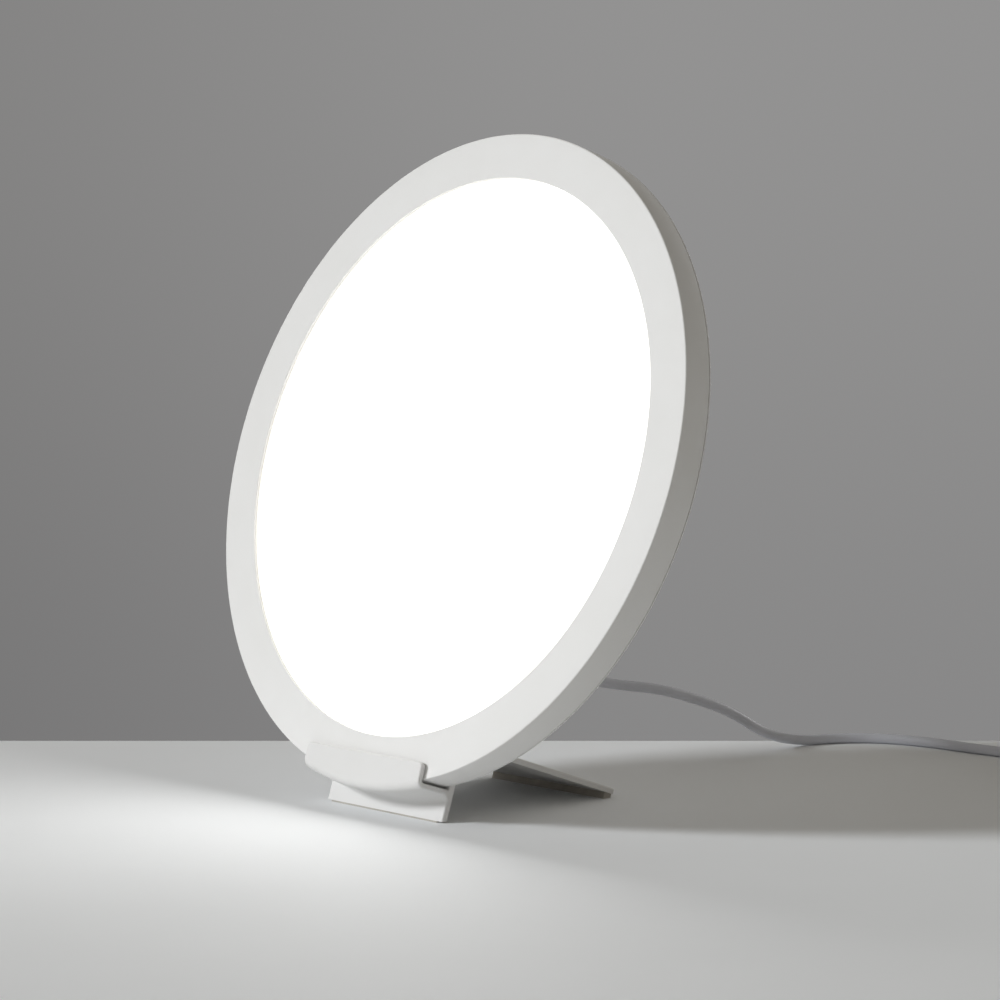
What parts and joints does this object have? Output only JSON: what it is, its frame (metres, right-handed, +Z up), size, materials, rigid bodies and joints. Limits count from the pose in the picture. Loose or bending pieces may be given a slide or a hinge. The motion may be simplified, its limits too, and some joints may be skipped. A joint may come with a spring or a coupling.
{
  "type": "light therapy lamp",
  "caption": "Round edge-lit light therapy lamp that leans back in a moulded cradle stand, with push buttons in its rear housing and a mains lead ending in a plug.",
  "frame": {"origin": "on the table, at the middle of the lamp's outline without its cord", "axes": "+Z up, X across the stand, the lit face looks towards -Y"},
  "size_m": [0.383, 0.5485, 0.3611],
  "materials": {
    "white_moulding": "satin",
    "opal_sheet": "matte",
    "clear_acrylic": "gloss",
    "white_film": "satin",
    "grey_foam": "matte",
    "bent_aluminium": "satin",
    "sheet_aluminium": "satin",
    "white_laminate": "satin",
    "phosphor": "gloss",
    "zinc_steel": "satin",
    "black_sheet": "satin",
    "green_laminate": "satin",
    "nylon": "matte",
    "yellow_tape": "satin",
    "capacitor_sleeve": "gloss",
    "ferrite": "matte",
    "ceramic": "satin",
    "black_epoxy": "matte",
    "wire_sheath": "satin",
    "grey_sheath": "satin",
    "white_button": "satin",
    "soft_pad": "matte",
    "black_strap": "matte",
    "nickel_pin": "polished",
    "black_sleeve": "satin"
  },
  "bodies": {
    "stand": {"stand": "white_moulding", "seat_pads": "soft_pad", "front_foot": "soft_pad", "rear_foot": "soft_pad"},
    "head": {"front_bezel": "white_moulding", "back_cover": "white_moulding", "diffuser": "opal_sheet", "light_guide": "clear_acrylic", "reflector_sheet": "white_film", "foam_pad": "grey_foam", "led_ring": "bent_aluminium", "back_plate": "sheet_aluminium", "led_strip": "white_laminate", "led_packages": "phosphor", "back_plate_screws": "zinc_steel", "board_screws": "zinc_steel", "cover_screws": "zinc_steel", "insulation_sheet": "black_sheet", "driver_board": "green_laminate", "control_board": "green_laminate", "board_standoffs": "nylon", "transformer": "yellow_tape", "bulk_capacitors": "capacitor_sleeve", "film_capacitor": "capacitor_sleeve", "input_choke": "ferrite", "fuse": "ceramic", "power_chips": "black_epoxy", "terminal_block": "nylon", "led_connector": "nylon", "control_chip": "black_epoxy", "mains_leads": "wire_sheath", "led_leads": "wire_sheath", "control_ribbon": "wire_sheath", "strain_relief": "grey_sheath", "gland_nut": "nylon", "switch_bodies": "black_epoxy", "cord": "grey_sheath", "cord_tail": "grey_sheath", "cord_coil": "grey_sheath", "cord_tie": "black_strap", "plug_body": "grey_sheath", "plug_pins": "nickel_pin", "pin_sleeves": "black_sleeve"},
    "power": {"power_button": "white_button", "power_plunger": "nylon"},
    "brightness": {"brightness_button": "white_button", "brightness_plunger": "nylon"},
    "timer": {"timer_button": "white_button", "timer_plunger": "nylon"}
  },
  "joints": [
    {"name": "head_lift", "type": "slide", "parent": "stand", "child": "head", "axis": [0, 0.304, 0.9527], "range_m": [0, 0.06]},
    {"name": "power_press", "type": "slide", "parent": "head", "child": "power", "axis": [0, -0.9527, 0.304], "range_m": [0, 0.0006], "stiffness_N_per_m": 2000},
    {"name": "brightness_press", "type": "slide", "parent": "head", "child": "brightness", "axis": [0, -0.9527, 0.304], "range_m": [0, 0.0006], "stiffness_N_per_m": 2000},
    {"name": "timer_press", "type": "slide", "parent": "head", "child": "timer", "axis": [0, -0.9527, 0.304], "range_m": [0, 0.0006], "stiffness_N_per_m": 2000}
  ]
}
